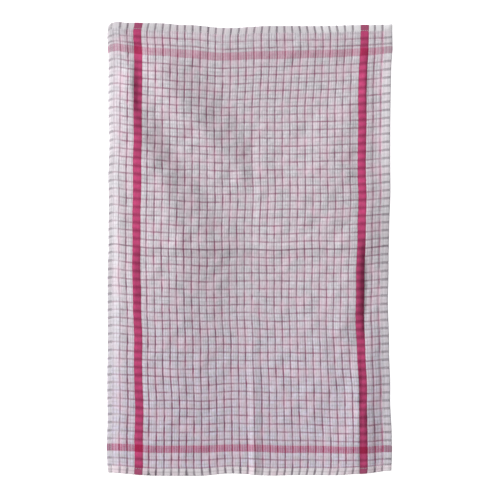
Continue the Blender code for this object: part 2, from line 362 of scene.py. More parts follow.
def mesh_lines(grooves, half, near_hem, far_hem, inner_lines):
    """All mesh lines one way, and which of them the coarser underside keeps.

    inner_lines(low, high) gives the lines of one cell; the underside keeps the first, the
    middle one, and in a hem the edge, the line at its rounding and its seam.
    """
    places = [-half + step for step in hem_lines(near_hem)]
    kept = [True, False, True, False, True, False]
    for low, high in zip(grooves, grooves[1:]):
        cell = inner_lines(low, high)
        places += [low, *cell]
        kept += [False, *(index in (0, len(cell) // 2) for index in range(len(cell)))]
    places.append(grooves[-1])
    kept.append(False)
    places += [half - step for step in reversed(hem_lines(far_hem))]
    kept += [False, True, False, True, False, True]
    return np.array(places), np.array(kept)


def cell_columns(low, high):
    """Mesh lines across a cell: feet, shoulders, the two ribs of loops, and the dip."""
    width = high - low
    if width < NARROWEST_CELL:
        return [(low + high) / 2]
    return [
        low + FOOT, low + SHOULDER, low + CREST * width, low + width / 2,
        high - CREST * width, high - SHOULDER, high - FOOT,
    ]


def cell_rows(low, high):
    """Mesh lines along a cell: shoulders and middle."""
    if high - low < NARROWEST_CELL:
        return [(low + high) / 2]
    return [low + SHOULDER, (low + high) / 2, high - SHOULDER]


def swelling(place, grooves):
    """0 in a groove and 1 well inside a cell, eased over the flank between."""
    gap = np.abs(place[:, None] - grooves[None, :]).min(axis=1)
    return ease(gap / SHOULDER)


def rib_dip(place, grooves):
    """The share of the loops' height that is left: less, by a bell, in a wide cell's middle."""
    middles = (grooves[1:] + grooves[:-1]) / 2
    wide = np.diff(grooves) > RIBBED_CELL
    gap = np.abs(place[:, None] - middles[None, wide]).min(axis=1)
    return 1 - RIB_DIP * np.exp(-((gap / RIB_DIP_REACH) ** 2))


def cell_number(place, grooves):
    """Which cell a place is in, counting from 0; outside the grooves, the nearest one."""
    return np.clip(np.searchsorted(grooves, place) - 1, 0, len(grooves) - 2)


# ------ the fine cloth
SCALLOP = 0.25  # how far the edge draws in at each line of the check
WANDER, WANDER_REACH = 0.35, 90  # how far the weave wanders sideways, and over what length
CRUMPLE, CRUMPLE_REACH = 0.22, 30  # small unevenness of the cloth's folds
CRUMPLE_MARGIN = 40  # so near the edge it fades out
CELL_SPREAD = 0.15  # how much the cells differ in height
HEM_GROOVE = 0.18  # how deep the lines of the check and the seam lie in a hem
HEM_RAMP_START, HEM_RAMP = 1, 3.4  # the ramp from a hem to the single cloth starts in the hem
CORNER_RAMP = 3  # how far into both hems a corner has its full thickness
PULL_START_LEFT, PULL_START_RIGHT = -140.0, 60.0  # from here the rows are drawn towards the head
PULL_BEND = 1.6  # 1 if they were drawn evenly, more if mostly near the edge

Grid = namedtuple("Grid", "across along x y upper lower columns_kept rows_kept")


def lying_place(across, along, columns_in, rows_in):
    """Where a place on the cut cloth lies: the four uneven edges, blended evenly inwards.

    columns_in and rows_in are 1 beside a line and 0 in mid cell; they scallop the edges. The
    columns then drift sideways, and the rows are drawn towards the head near the side edges.
    """
    scallop_side = SCALLOP * rows_in
    scallop_end = SCALLOP * columns_in
    left = -LYING_WIDTH / 2 - edge_offset(LEFT_EDGE, along) + scallop_side
    right = LYING_WIDTH / 2 + edge_offset(RIGHT_EDGE, along) - scallop_side
    bottom = -CUT_LENGTH / 2 - edge_offset(BOTTOM_EDGE, across) + scallop_end
    top = CUT_LENGTH / 2 + edge_offset(TOP_EDGE, across) - scallop_end
    x = between((left, right), across / CUT_WIDTH + 0.5) + column_drift(across, along)
    y = between((bottom, top), along / CUT_LENGTH + 0.5)
    to_left = np.clip((across - PULL_START_LEFT) / (-CUT_WIDTH / 2 - PULL_START_LEFT), 0, 1)
    to_right = np.clip((across - PULL_START_RIGHT) / (CUT_WIDTH / 2 - PULL_START_RIGHT), 0, 1)
    left_pull = edge_offset(LEFT_PULL, along) * to_left**PULL_BEND
    right_pull = edge_offset(RIGHT_PULL, along) * to_right**PULL_BEND
    return x, y + left_pull + right_pull


def into_hems(across, along):
    """How far a place lies inside the inner edges of the four hems; less than 0 is in a hem."""
    side = np.minimum(across + CUT_WIDTH / 2 - LEFT_HEM, CUT_WIDTH / 2 - RIGHT_HEM - across)
    end = CUT_LENGTH / 2 - END_HEM - np.abs(along)
    return side, end


def cloth_layers():
    """The two faces of the cloth over its plan, as grids: places, upper and lower heights.

    The plan is laid on the folds. The upper face is the ground weave plus the loops, which
    swell between the grooves; a hem is thicker, sinks a little along its seam and at the lines
    of the check, and is rounded off at the cloth's edge. The lower face lies on the folds.
    """
    columns_at, rows_at = grooves_across(), grooves_along()
    columns, columns_kept = mesh_lines(columns_at, CUT_WIDTH / 2, LEFT_HEM, RIGHT_HEM, cell_columns)
    rows, rows_kept = mesh_lines(rows_at, CUT_LENGTH / 2, END_HEM, END_HEM, cell_rows)
    across, along = np.meshgrid(columns, rows)

    swell_columns = swelling(columns, columns_at)
    swell_rows = swelling(rows, rows_at)
    x, y = lying_place(across, along, 1 - swell_columns[None, :], 1 - swell_rows[:, None])
    to_edge = np.minimum(CUT_WIDTH / 2 - np.abs(across), CUT_LENGTH / 2 - np.abs(along))
    x = x + WANDER * ripple(across, along, WANDER_REACH)
    y = y + WANDER * ripple(across, along, WANDER_REACH)
    crumple = CRUMPLE * ripple(across, along, CRUMPLE_REACH) * ease(to_edge / CRUMPLE_MARGIN)
    floor_gap = resting_height(x, y, crumple)

    past_side, past_end = into_hems(across, along)
    single = ease((np.minimum(past_side, past_end) + HEM_RAMP_START) / HEM_RAMP)
    spread = 1 + CELL_SPREAD * RANDOM.standard_normal((len(rows_at) - 1, len(columns_at) - 1))
    spread = spread[np.ix_(cell_number(rows, rows_at), cell_number(columns, columns_at))]
    puffed = swell_columns * rib_dip(columns, columns_at)
    loops = PUFF * spread * puffed[None, :] * swell_rows[:, None]

    at_seam = np.maximum(np.exp(-((past_side + SEAM) ** 2)), np.exp(-((past_end + SEAM) ** 2)))
    at_line = np.where(past_side < past_end, 1 - swell_rows[:, None], 1 - swell_columns[None, :])
    corner = ease(-past_side / CORNER_RAMP) * ease(-past_end / CORNER_RAMP)
    sunk = np.maximum(at_seam, at_line * (1 - corner))
    hem = HEM_THICKNESS + CORNER_THICKNESS * corner - HEM_GROOVE * sunk
    upper = between((hem, GROUND + loops), single)

    rounding = np.sqrt(np.clip(1 - (1 - to_edge / EDGE_ROUNDING).clip(0) ** 2, 0, 1))
    middle = HEM_THICKNESS / 2
    upper = middle + (upper - middle) * rounding
    lower = middle * (1 - rounding)
    return Grid(across, along, x, y, floor_gap + upper, floor_gap + lower, columns_kept, rows_kept)


def grid_faces(index):
    """The four corners of each cell of a grid of vertex numbers, anticlockwise from above."""
    return np.stack([index[:-1, :-1], index[:-1, 1:], index[1:, 1:], index[1:, :-1]], axis=-1).reshape(-1, 4)


def cloth_mesh(grid):
    """One closed skin: the fine upper face, and a coarser lower one that shares its border."""
    rows, columns = grid.x.shape
    upper_index = np.arange(rows * columns).reshape(rows, columns)
    keep_rows, keep_columns = np.flatnonzero(grid.rows_kept), np.flatnonzero(grid.columns_kept)
    inner_rows, inner_columns = keep_rows[1:-1], keep_columns[1:-1]
    lower_index = rows * columns + np.arange(len(inner_rows) * len(inner_columns))
    lower_index = lower_index.reshape(len(inner_rows), len(inner_columns))
    inner = np.ix_(inner_rows, inner_columns)

    points = np.concatenate([
        np.stack([grid.x, grid.y, grid.upper], axis=-1).reshape(-1, 3),
        np.stack([grid.x[inner], grid.y[inner], grid.lower[inner]], axis=-1).reshape(-1, 3),
    ])
    plan = np.concatenate([
        np.stack([grid.across, grid.along], axis=-1).reshape(-1, 2),
        np.stack([grid.across[inner], grid.along[inner]], axis=-1).reshape(-1, 2),
    ])
    faces = grid_faces(upper_index).tolist() + grid_faces(lower_index)[:, ::-1].tolist()
    faces += border_faces(upper_index, lower_index, inner_rows, inner_columns)
    return points, plan, faces


def border_faces(upper_index, lower_index, inner_rows, inner_columns):
    """The lower face's outermost ring: one polygon from each coarse side to the fine border."""
    rows, columns = upper_index.shape
    faces = []
    cuts = [0, *inner_columns[1:-1].tolist(), columns - 1]
    for number, (low, high) in enumerate(zip(cuts, cuts[1:])):
        near = lower_index[0, number:number + 2].tolist()
        far = lower_index[-1, number:number + 2].tolist()
        faces.append(near + upper_index[0, low:high + 1][::-1].tolist())
        faces.append(far[::-1] + upper_index[-1, low:high + 1].tolist())
    cuts = [0, *inner_rows[1:-1].tolist(), rows - 1]
    for number, (low, high) in enumerate(zip(cuts, cuts[1:])):
        near = lower_index[number:number + 2, 0].tolist()
        far = lower_index[number:number + 2, -1].tolist()
        faces.append(near[::-1] + upper_index[low:high + 1, 0].tolist())
        faces.append(far + upper_index[low:high + 1, -1][::-1].tolist())
    return faces


def new_piece(name, points, faces, material):
    """A smooth-shaded object whose mesh is these points, in millimetres, and faces."""
    mesh = bpy.data.meshes.new(name)
    mesh.from_pydata((points * MM).tolist(), [], faces)
    mesh.shade_smooth()
    mesh.materials.append(material)
    piece = bpy.data.objects.new(name, mesh)
    bpy.context.scene.collection.objects.link(piece)
    return piece


def woven_place(across, along):
    """Which place of the woven check shows: in an end hem it has slipped sideways a little."""
    into_hem = np.clip((np.abs(along) - CUT_LENGTH / 2 + END_HEM) / END_HEM, 0, 1)
    slip = np.where(along > 0, edge_offset(HEAD_SLIP, across), edge_offset(FOOT_SLIP, across))
    return across - slip * into_hem, along


def add_plan_map(piece, plan):
    """A UV map of the cut cloth: 0 to 1 across it and 0 to 1 along it."""
    mesh = piece.data
    corners = np.empty(len(mesh.loops), dtype=np.int32)
    mesh.loops.foreach_get("vertex_index", corners)
    woven = np.stack(woven_place(plan[:, 0], plan[:, 1]), axis=-1)
    share = woven / (CUT_WIDTH, CUT_LENGTH) + 0.5
    mesh.uv_layers.new(name="cloth_plan").uv.foreach_set("vector", share[corners].ravel())


# ------ the stitching
STITCH = 2.5  # length of one stitch
STITCH_STEP = 3.3  # from one stitch to the next
THREAD = 0.5  # thickness of the sewing thread
STITCH_RINGS, STITCH_SIDES = 5, 6
THREAD_LIFT, THREAD_SINK = 0.3, 0.1  # of its middle and its ends, as shares of the thickness
THREAD_END = 0.35  # how thick a stitch is at its ends, as a share of its middle


def on_cloth(grid, across, along):
    """The point of the upper face at a place of the plan, blended from its cell's corners."""
    columns, rows = grid.across[0], grid.along[:, 0]
    column = np.clip(np.searchsorted(columns, across) - 1, 0, len(columns) - 2)
    row = np.clip(np.searchsorted(rows, along) - 1, 0, len(rows) - 2)
    share_x = (across - columns[column]) / (columns[column + 1] - columns[column])
    share_y = (along - rows[row]) / (rows[row + 1] - rows[row])

    def blended(values):
        near = between((values[row, column], values[row, column + 1]), share_x)
        far = between((values[row + 1, column], values[row + 1, column + 1]), share_x)
        return between((near, far), share_y)

    return np.stack([blended(grid.x), blended(grid.y), blended(grid.upper)], axis=-1)


def seam_stitches():
    """The middle of every stitch in the plan and the way it runs, for the four seams."""
    left = -CUT_WIDTH / 2 + LEFT_HEM - SEAM
    right = CUT_WIDTH / 2 - RIGHT_HEM + SEAM
    end = CUT_LENGTH / 2 - END_HEM + SEAM
    along = np.arange(-CUT_LENGTH / 2 + STITCH, CUT_LENGTH / 2 - STITCH, STITCH_STEP)
    across = np.arange(-CUT_WIDTH / 2 + STITCH, CUT_WIDTH / 2 - STITCH, STITCH_STEP)
    middles = [np.stack([np.full(len(along), place), along], axis=-1) for place in (left, right)]
    middles += [np.stack([across, np.full(len(across), place)], axis=-1) for place in (-end, end)]
    ways = [(0, 1)] * 2 * len(along) + [(1, 0)] * 2 * len(across)
    return np.concatenate(middles), np.array(ways, dtype=float)


def stitching_mesh(grid):
    """Stitches as short threads, thickest and highest in the middle, their ends in the cloth.

    Each is a row of rings at even steps along its length, a ring being a circle that stands
    across the stitch; its radius and lift follow half a sine wave.
    """
    middles, ways = seam_stitches()
    place = np.linspace(-0.5, 0.5, STITCH_RINGS)
    bulge = np.cos(np.pi * place)
    plan = middles[:, None, :] + ways[:, None, :] * (STITCH * place)[None, :, None]
    core = on_cloth(grid, plan[..., 0], plan[..., 1])
    core[..., 2] += THREAD_LIFT * THREAD * bulge - THREAD_SINK * THREAD
    turn = np.arange(STITCH_SIDES) / STITCH_SIDES * 2 * np.pi
    radius = (THREAD / 2 * between((THREAD_END, 1), bulge))[None, :, None]
    side = np.stack([ways[:, 1], -ways[:, 0]], axis=-1)[:, None, None, :]
    flat = core[:, :, None, :2] + side * (radius * np.cos(turn))[..., None]
    height = core[:, :, None, 2] + radius * np.sin(turn)
    points = np.concatenate([flat, height[..., None]], axis=-1).reshape(-1, 3)

    index = np.arange(len(middles) * STITCH_RINGS * STITCH_SIDES)
    index = index.reshape(len(middles), STITCH_RINGS, STITCH_SIDES)
    around = np.roll(index, -1, axis=2)
    walls = np.stack([index[:, :-1], index[:, 1:], around[:, 1:], around[:, :-1]], axis=-1)
    caps = index[:, 0].tolist() + index[:, -1, ::-1].tolist()
    return points, walls.reshape(-1, 4).tolist() + caps


# ------ materials
def dye(red, green, blue):
    """A colour given as on a screen, 0 to 255, as the linear colour that shaders use."""
    share = np.array([red, green, blue]) / 255
    linear = np.where(share <= 0.04045, share / 12.92, ((share + 0.055) / 1.055) ** 2.4)
    return (*linear.tolist(), 1)


WHITE_COTTON = dye(204, 200, 206)
# a greyer white: random mottle in the cloth, and painted shade between the sewing thread's plies
MOTTLE_AND_PLY_SHADE = dye(188, 184, 190)
LILAC_COTTON = dye(198, 193, 212)  # the white near the foot
PAINTED_LIGHT_COTTON = dye(214, 212, 215)  # painted light: a paler white on the left margin, the side hems, the foot hem and the head hem's right part
HEM_COTTON = dye(199, 196, 199)  # the end hems
# painted shade in the sunk lines between the ribs of loops
RIB_PAINTED_SHADE = dye(152, 147, 154)
PINK_COTTON = dye(208, 177, 191)  # the lines' dye, which tinges the white
WINE = dye(122, 18, 76)
DULL_WINE = dye(86, 68, 84)  # the back of a line, as a turned hem shows it, and the painted shade along the middle crease
RASPBERRY = dye(181, 50, 105)
DEEP_RASPBERRY = dye(116, 8, 58)
BAND_PINK = dye(158, 36, 97)
CRIMSON = dye(150, 0, 62)  # where a line or a stripe crosses a band

# Noises over the plan: cells to a millimetre, fineness, and what counts as 0 and as 1.
Patches = namedtuple("Patches", "scale detail low high")
MOTTLE = Patches(0.16, 4, 0.3, 0.7)
TINGE = Patches(0.045, 3, 0.36, 0.68)
UNEVEN_DYE = Patches(0.1, 2, 0.35, 0.65)

# How far a yarn strays from a straight course: two noises and their reach in millimetres.
Stray = namedtuple("Stray", "scale detail reach")
STRAYS = (Stray(0.35, 3, 0.8), Stray(0.09, 1, 0.9))
OVER_ACROSS, OVER_ALONG = 7.0, 8.2  # yarns pass over and under: radians to a millimetre
FLECK_STRAY = 1.2  # how much the straying disturbs that

# Stretches of the plan over which a share grows from 0 at start to 1 at full.
Run = namedtuple("Run", "start full")
TOWARDS_HEAD, TOWARDS_FOOT = Run(0, 100), Run(0, -100)
LILAC_ALONG = Run(20, -260)
MARGIN_ACROSS, MARGIN_HEAD, MARGIN_FOOT = Run(-188, -196), Run(170, 110), Run(-230, -170)
HEAD_RIGHT_ACROSS = Run(85, 120)
PALE_LINES_ACROSS = Run(-203, -206)
STRONG_LINES_ACROSS, STRONG_LINES_ALONG = Run(60, -140), Run(-80, -240)

# How much of a colour covers the one under it, 0 to 1. A pair is for a cause at 0 and at 1.
# the ribs below are painted shade along their sunk lines
Ribs = namedtuple("Ribs", "per_cell cover patches")
RIBS_ACROSS = Ribs(per_cell=3, cover=(0.25, 0.7), patches=Patches(0.11, 2, 0.35, 0.6))
RIBS_ALONG = Ribs(per_cell=2, cover=(0.1, 0.45), patches=Patches(0.08, 2, 0.4, 0.62))
TINGE_COVER = (0.3, 0.7)  # away from the upright lines and beside them
TINGE_REACH = 0.42  # how far from a line, as a share of the pitch
# painted light: how much paler white goes on the side hems, the left margin and the head hem's right part
SIDE_HEM_PAINTED_LIGHT, MARGIN_PAINTED_LIGHT, HEAD_RIGHT_PAINTED_LIGHT = 0.35, 0.2, 0.8
END_HEM_COVER = 0.6
FOOT_HEM_PINK = (0.15, 0.55)
TURNED_LINE_COVER = 0.22
# painted shade along the middle crease
CREASE_PAINTED_SHADE = 0.35
Lines = namedtuple("Lines", "cover cover_seed dull dull_seed on_top")  # on_top: yarn below, above
LEVEL_LINES = Lines(cover=(0.25, 0.56), cover_seed=0, dull=(0, 0.25), dull_seed=3, on_top=(0.75, 1.2))
UPRIGHT_LINES = Lines(
    cover=(0.37, 0.78), cover_seed=8, dull=(0.12, 0.75), dull_seed=11, on_top=(1.08, 0.88)
)
COVER_REACH, DULL_REACH = 22, 18  # millimetres over which these change along a line
LINE_SPREAD = 7.31  # sets the noises of neighbouring lines apart
PALE_LINES = (1, 0.6)  # the lines in the outermost cells at the left
STRONG_LINES = (0.9, 1.06)  # the upright lines towards the left and the foot
# in a side hem the level lines show their back, darkened and widened further as painted shade of their
# grooves
LEVEL_IN_SIDE_HEM = 0.45
UPRIGHT_IN_HEAD_HEM, LESS_IN_FOOT_HEM, UPRIGHT_IN_BAND = 0.62, 0.1, 1.25
WIDER_IN_END_HEM, WIDER_IN_SIDE_HEM = 0.4, 0.7  # mm more on each side of a line
# BAND_RIBS strengthens the band along the ribs as painted shade
BAND_ON_TOP, BAND_RIBS, BAND_IN_SIDE_HEM = (0.7, 1.25), (0.85, 1.2), 0.5
STRIPE_ON_TOP = (1, 0.93)
# the stripe deepens at the level lines, partly where they cross and partly as painted shade of the grooves
# beside them, and at its sides as painted shade
STRIPE_CROSSING_AND_SHADE, STRIPE_UNEVEN, STRIPE_EDGE_SHADE = 0.52, 0.18, 0.35  # deeper at level lines, in patches, at its sides
STRIPE_IN_BAND, STRIPE_IN_END_HEM = 1.8, 0.4
SUNK_FROM, SUNK_FULL = 5.0, 0.8  # millimetres from a level line
STRIPE_EDGE_WIDTH = 2.6
SOFT_LINE, SOFT_BAND, SOFT_STRIPE, SOFT_HEM = 0.7, 0.8, 0.35, 0.6  # soft edges, in mm


class Value:
    """A number, colour or vector that the shader works out: the output of a node.

    Sums and products of it, with numbers or with each other, add a Math node to its tree.
    """

    def __init__(self, tree, socket):
        self.tree, self.socket = tree, socket

    def __add__(self, other):
        return maths("ADD", self, other)

    __radd__ = __add__

    def __sub__(self, other):
        return maths("SUBTRACT", self, other)

    def __mul__(self, other):
        return maths("MULTIPLY", self, other)

    def __truediv__(self, other):
        return maths("DIVIDE", self, other)

    def __abs__(self):
        return maths("ABSOLUTE", self)

    def weigh(self, low, high):
        """low where this share is 0 and high where it is 1."""
        return self * (high - low) + low

    def grow(self, start, full):
        """A share: 0 up to start and 1 from full on, eased between. start may be above full."""
        node = self.tree.nodes.new("ShaderNodeMapRange")
        node.interpolation_type = "SMOOTHSTEP"
        feed(node.inputs["Value"], self)
        node.inputs["From Min"].default_value = start
        node.inputs["From Max"].default_value = full
        return Value(self.tree, node.outputs["Result"])

    def within(self, half_width, soft):
        """A share: 1 where this distance is under half_width, else 0, with a soft edge."""
        return self.grow(half_width + soft, half_width - soft)


def feed(socket, value):
    """Link a Value to a node's socket, or set a plain number or colour on it."""
    if isinstance(value, Value):
        value.tree.links.new(value.socket, socket)
    else:
        socket.default_value = value


def maths(operation, *values):
    """A Math node's result for numbers and Values."""
    tree = next(value.tree for value in values if isinstance(value, Value))
    node = tree.nodes.new("ShaderNodeMath")
    node.operation = operation
    for socket, value in zip(node.inputs, values):
        feed(socket, value)
    return Value(tree, node.outputs[0])


def blend(share, first, second):
    """The first colour where share is 0 and the second where it is 1."""
    node = share.tree.nodes.new("ShaderNodeMix")
    node.data_type = "RGBA"
    for name, kind, value in (("Factor", "VALUE", share), ("A", "RGBA", first), ("B", "RGBA", second)):
        feed(next(s for s in node.inputs if s.name == name and s.type == kind), value)
    return Value(share.tree, next(s for s in node.outputs if s.type == "RGBA"))


def noise(vector, scale, detail):
    """A noise texture's value at a vector."""
    node = vector.tree.nodes.new("ShaderNodeTexNoise")
    node.inputs["Scale"].default_value = scale
    node.inputs["Detail"].default_value = detail
    feed(node.inputs["Vector"], vector)
    return Value(vector.tree, node.outputs["Fac"])


def patches(plan, kind):
    """Patches of one kind over the plan, from 0 to 1."""
    return noise(plan, kind.scale, kind.detail).grow(kind.low, kind.high)


def along_line(number, place, reach, seed):
    """A value of its own for each line that changes slowly along it, from 0 to 1."""
    node = place.tree.nodes.new("ShaderNodeCombineXYZ")
    feed(node.inputs["X"], number * LINE_SPREAD)
    feed(node.inputs["Y"], place / reach)
    node.inputs["Z"].default_value = seed
    return noise(Value(place.tree, node.outputs[0]), 1, 2).grow(0.3, 0.7)


def ribs(step, per_cell):
    """1 along each of so many faint sunk lines in a cell, which fall on the check's lines too; the mask of
    their painted shade.
    """
    return maths("COSINE", step * (2 * np.pi * per_cell)).grow(0, 1)


def nearest_line(place, first, pitch, count, others):
    """How far place is from the nearest line of the check, that line's number, and the steps."""
    step = (place - first) / pitch
    number = maths("ROUND", step)
    inner = maths("MINIMUM", maths("MAXIMUM", number, 0), count - 1)
    gap = abs(step - inner) * pitch
    for middle in others:
        gap = maths("MINIMUM", gap, abs(place - middle))
    return gap, number, step


def plan_in_mm(tree):
    """The cloth's plan in millimetres, 0 in its middle: the whole vector, across and along."""
    plan_map = tree.nodes.new("ShaderNodeUVMap")
    plan_map.uv_map = "cloth_plan"
    in_mm = tree.nodes.new("ShaderNodeVectorMath")
    in_mm.operation = "MULTIPLY_ADD"
    in_mm.inputs[1].default_value = (CUT_WIDTH, CUT_LENGTH, 0)
    in_mm.inputs[2].default_value = (-CUT_WIDTH / 2, -CUT_LENGTH / 2, 0)
    tree.links.new(plan_map.outputs["UV"], in_mm.inputs[0])
    split = tree.nodes.new("ShaderNodeSeparateXYZ")
    tree.links.new(in_mm.outputs["Vector"], split.inputs[0])
    return (Value(tree, socket) for socket in (in_mm.outputs["Vector"], *split.outputs[:2]))


def place_in_weave(tree):
    """What the colour and relief depend on at a place of the cloth.

    Everything else is a share: 1 in the thing named and 0 outside it.
    """
    at = SimpleNamespace()
    at.plan, at.x, at.y = plan_in_mm(tree)
    stray = sum((noise(at.plan, kind.scale, kind.detail) - 0.5) * kind.reach for kind in STRAYS)
    at.across = at.x + stray
    at.along = at.y + stray
    at.over = maths("SINE", at.x * OVER_ACROSS) * maths("SINE", at.y * OVER_ALONG)
    at.flecks = (at.over + stray * FLECK_STRAY).grow(-0.5, 0.5)

    end = CUT_LENGTH / 2 - END_HEM
    left, right = LEFT_HEM - CUT_WIDTH / 2, CUT_WIDTH / 2 - RIGHT_HEM
    at.end_hem = abs(at.y).grow(end, end + SOFT_HEM)
    at.side_hem = at.x.grow(left, left - SOFT_HEM) + at.x.grow(right, right + SOFT_HEM)
    at.foot_hem = at.end_hem * at.y.grow(*TOWARDS_FOOT)

    at.gap_across, at.column, at.step_across = nearest_line(
        at.across, FIRST_ACROSS, PITCH_ACROSS, LINES_ACROSS, OUTER_LINES_ACROSS
    )
    at.gap_along, at.row, at.step_along = nearest_line(
        at.along, FIRST_ALONG, PITCH_ALONG, LINES_ALONG, OUTER_LINES_ALONG
    )
    at.upright = (at.gap_across - at.end_hem * WIDER_IN_END_HEM).within(LINE_WIDTH / 2, SOFT_LINE)
    # the widening in a side hem is painted shade of the grooves
    at.level = (at.gap_along - at.side_hem * WIDER_IN_SIDE_HEM).within(LINE_WIDTH / 2, SOFT_LINE)
    at.turned_line = abs(at.along - TURNED_LINE).within(LINE_WIDTH / 2, SOFT_LINE)
    at.crease = abs(at.along - CREASE_ALONG).within(CREASE_WIDTH / 2, SOFT_LINE)
    at.band = sum(
        abs(at.along - band.middle).within(band.width / 2, SOFT_BAND) * band.strength for band in END_BANDS
    )
    asides = [abs(at.across - middle) for middle in STRIPES]
    at.stripe = sum(aside.within(STRIPE_WIDTH / 2, SOFT_STRIPE) for aside in asides)
    edges = [aside.grow(STRIPE_WIDTH / 2 - STRIPE_EDGE_WIDTH, STRIPE_WIDTH / 2) for aside in asides]
    at.stripe_edge = maths("MINIMUM", *edges)
    at.tinge = patches(at.plan, TINGE)
    at.pale_lines = at.x.grow(*PALE_LINES_ACROSS).weigh(*PALE_LINES)
    return at


def white_ground(at):
    """Mottled white, lilac towards the foot, with painted shade in faint rib lines and a pink tinge beside
    the lines.
    """
    white = blend(at.y.grow(*LILAC_ALONG), WHITE_COTTON, LILAC_COTTON)
    colour = blend(patches(at.plan, MOTTLE), MOTTLE_AND_PLY_SHADE, white)
    for step, kind in ((at.step_across, RIBS_ACROSS), (at.step_along, RIBS_ALONG)):
        cover = ribs(step, kind.per_cell) * patches(at.plan, kind.patches).weigh(*kind.cover)
        colour = blend(cover, colour, RIB_PAINTED_SHADE)
    beside = at.gap_across.grow(PITCH_ACROSS * TINGE_REACH, LINE_WIDTH / 2)
    return blend(at.tinge * beside.weigh(*TINGE_COVER), colour, PINK_COTTON)


def margin_and_hem_ground(at, colour):
    """Painted light as a paler white on the left margin, side hems, foot hem and head hem's right part; the
    end hems' own tone, a pinker foot hem and a faint grey line along it.
    """
    margin = at.x.grow(*MARGIN_ACROSS) * at.y.grow(*MARGIN_HEAD) * at.y.grow(*MARGIN_FOOT)
    head_right = at.y.grow(*TOWARDS_HEAD) * at.x.grow(*HEAD_RIGHT_ACROSS)
    for cover, tint in (
        # the paler white in the first, third and fourth of these is painted light
        (maths("MAXIMUM", at.side_hem * SIDE_HEM_PAINTED_LIGHT, margin * MARGIN_PAINTED_LIGHT), PAINTED_LIGHT_COTTON),
        (at.end_hem * END_HEM_COVER, HEM_COTTON),
        (at.end_hem * head_right * HEAD_RIGHT_PAINTED_LIGHT, PAINTED_LIGHT_COTTON),
        (at.foot_hem, PAINTED_LIGHT_COTTON),
        (at.foot_hem * at.tinge.weigh(*FOOT_HEM_PINK), PINK_COTTON),
        (at.turned_line * TURNED_LINE_COVER, DULL_WINE),
    ):
        colour = blend(cover, colour, tint)
    return colour


def line_yarn(lines, number, place, back):
    """How strongly a line covers the white, and its wine, duller where back shows the reverse."""
    cover = along_line(number, place, COVER_REACH, lines.cover_seed).weigh(*lines.cover)
    dull = along_line(number, place, DULL_REACH, lines.dull_seed).weigh(*lines.dull)
    return cover, blend(maths("MAXIMUM", dull, back), WINE, DULL_WINE)


def level_lines(at, colour):
    """The level wine lines, darkened in the side hems with painted shade, and painted shade greying the
    crease across the middle.
    """
    cover, wine = line_yarn(LEVEL_LINES, at.row, at.x, maths("MAXIMUM", at.end_hem, at.side_hem))
    # painted shade: the level lines darker in a side hem
    cover = maths("MAXIMUM", cover * at.pale_lines, at.side_hem * LEVEL_IN_SIDE_HEM)
    colour = blend(at.level * cover * at.flecks.weigh(*LEVEL_LINES.on_top), colour, wine)
    # painted shade along the crease
    return blend(at.crease * CREASE_PAINTED_SHADE, colour, DULL_WINE)


def end_bands(at, colour):
    """The pink bands, with painted shade along their ribs as on the white, and duller in the side hems."""
    ribbed = ribs(at.step_across, RIBS_ACROSS.per_cell).weigh(*BAND_RIBS)
    colour = blend(at.band * (at.flecks.weigh(*BAND_ON_TOP) * ribbed), colour, BAND_PINK)
    return blend(at.band * at.side_hem * BAND_IN_SIDE_HEM, colour, DULL_WINE)


def upright_lines(at, colour):
    """The upright wine lines: stronger to the left and the foot, crimson where they cross a band."""
    cover, wine = line_yarn(UPRIGHT_LINES, at.column, at.y, at.end_hem)
    wine = blend(at.band, wine, CRIMSON)
    stronger = at.x.grow(*STRONG_LINES_ACROSS) + at.y.grow(*STRONG_LINES_ALONG)
    cover = cover * at.pale_lines * stronger.weigh(*STRONG_LINES)
    in_hem = at.end_hem * UPRIGHT_IN_HEAD_HEM - at.foot_hem * LESS_IN_FOOT_HEM
    cover = maths("MAXIMUM", cover, maths("MAXIMUM", in_hem, at.band * UPRIGHT_IN_BAND))
    return blend(at.upright * cover * at.flecks.weigh(*UPRIGHT_LINES.on_top), colour, wine)


def side_stripes(at, colour):
    """The raspberry stripes: deeper at the level lines, where their wine crosses and painted shade fills the
    grooves beside them, and painted shade at their edges; crimson in a band.
    """
    stripe = RASPBERRY
    for cover in (
        # painted shade in the grooves by the level lines and along the stripe's sides
        at.gap_along.grow(SUNK_FROM, SUNK_FULL) * STRIPE_CROSSING_AND_SHADE,
        patches(at.plan, UNEVEN_DYE) * STRIPE_UNEVEN,
        at.stripe_edge * STRIPE_EDGE_SHADE,
    ):
        stripe = blend(cover, stripe, DEEP_RASPBERRY)
    stripe = blend(maths("MINIMUM", at.band * STRIPE_IN_BAND, 1), stripe, CRIMSON)
    stripe = blend(at.end_hem * STRIPE_IN_END_HEM, stripe, DULL_WINE)
    return blend(at.stripe * at.flecks.weigh(*STRIPE_ON_TOP), colour, stripe)


LOOPS_PER_MM, LOOP_UNEVENNESS = 0.75, 0.8
LINE_RELIEF = 0.35  # the flat weave's relief, as a share of the loops'
RELIEF, RELIEF_STRENGTH = 0.4 * MM, 0.5


def cotton(name):
    """A new material with cotton's dull surface and a trace of fluff: it and its shader's inputs."""
    material = bpy.data.materials.new(name)
    material.use_nodes = True
    inputs = material.node_tree.nodes["Principled BSDF"].inputs
    inputs["Roughness"].default_value = 0.95
    inputs["Specular IOR Level"].default_value = 0.2
    inputs["Sheen Weight"].default_value = 0.1
    inputs["Sheen Roughness"].default_value = 0.6
    return material, inputs


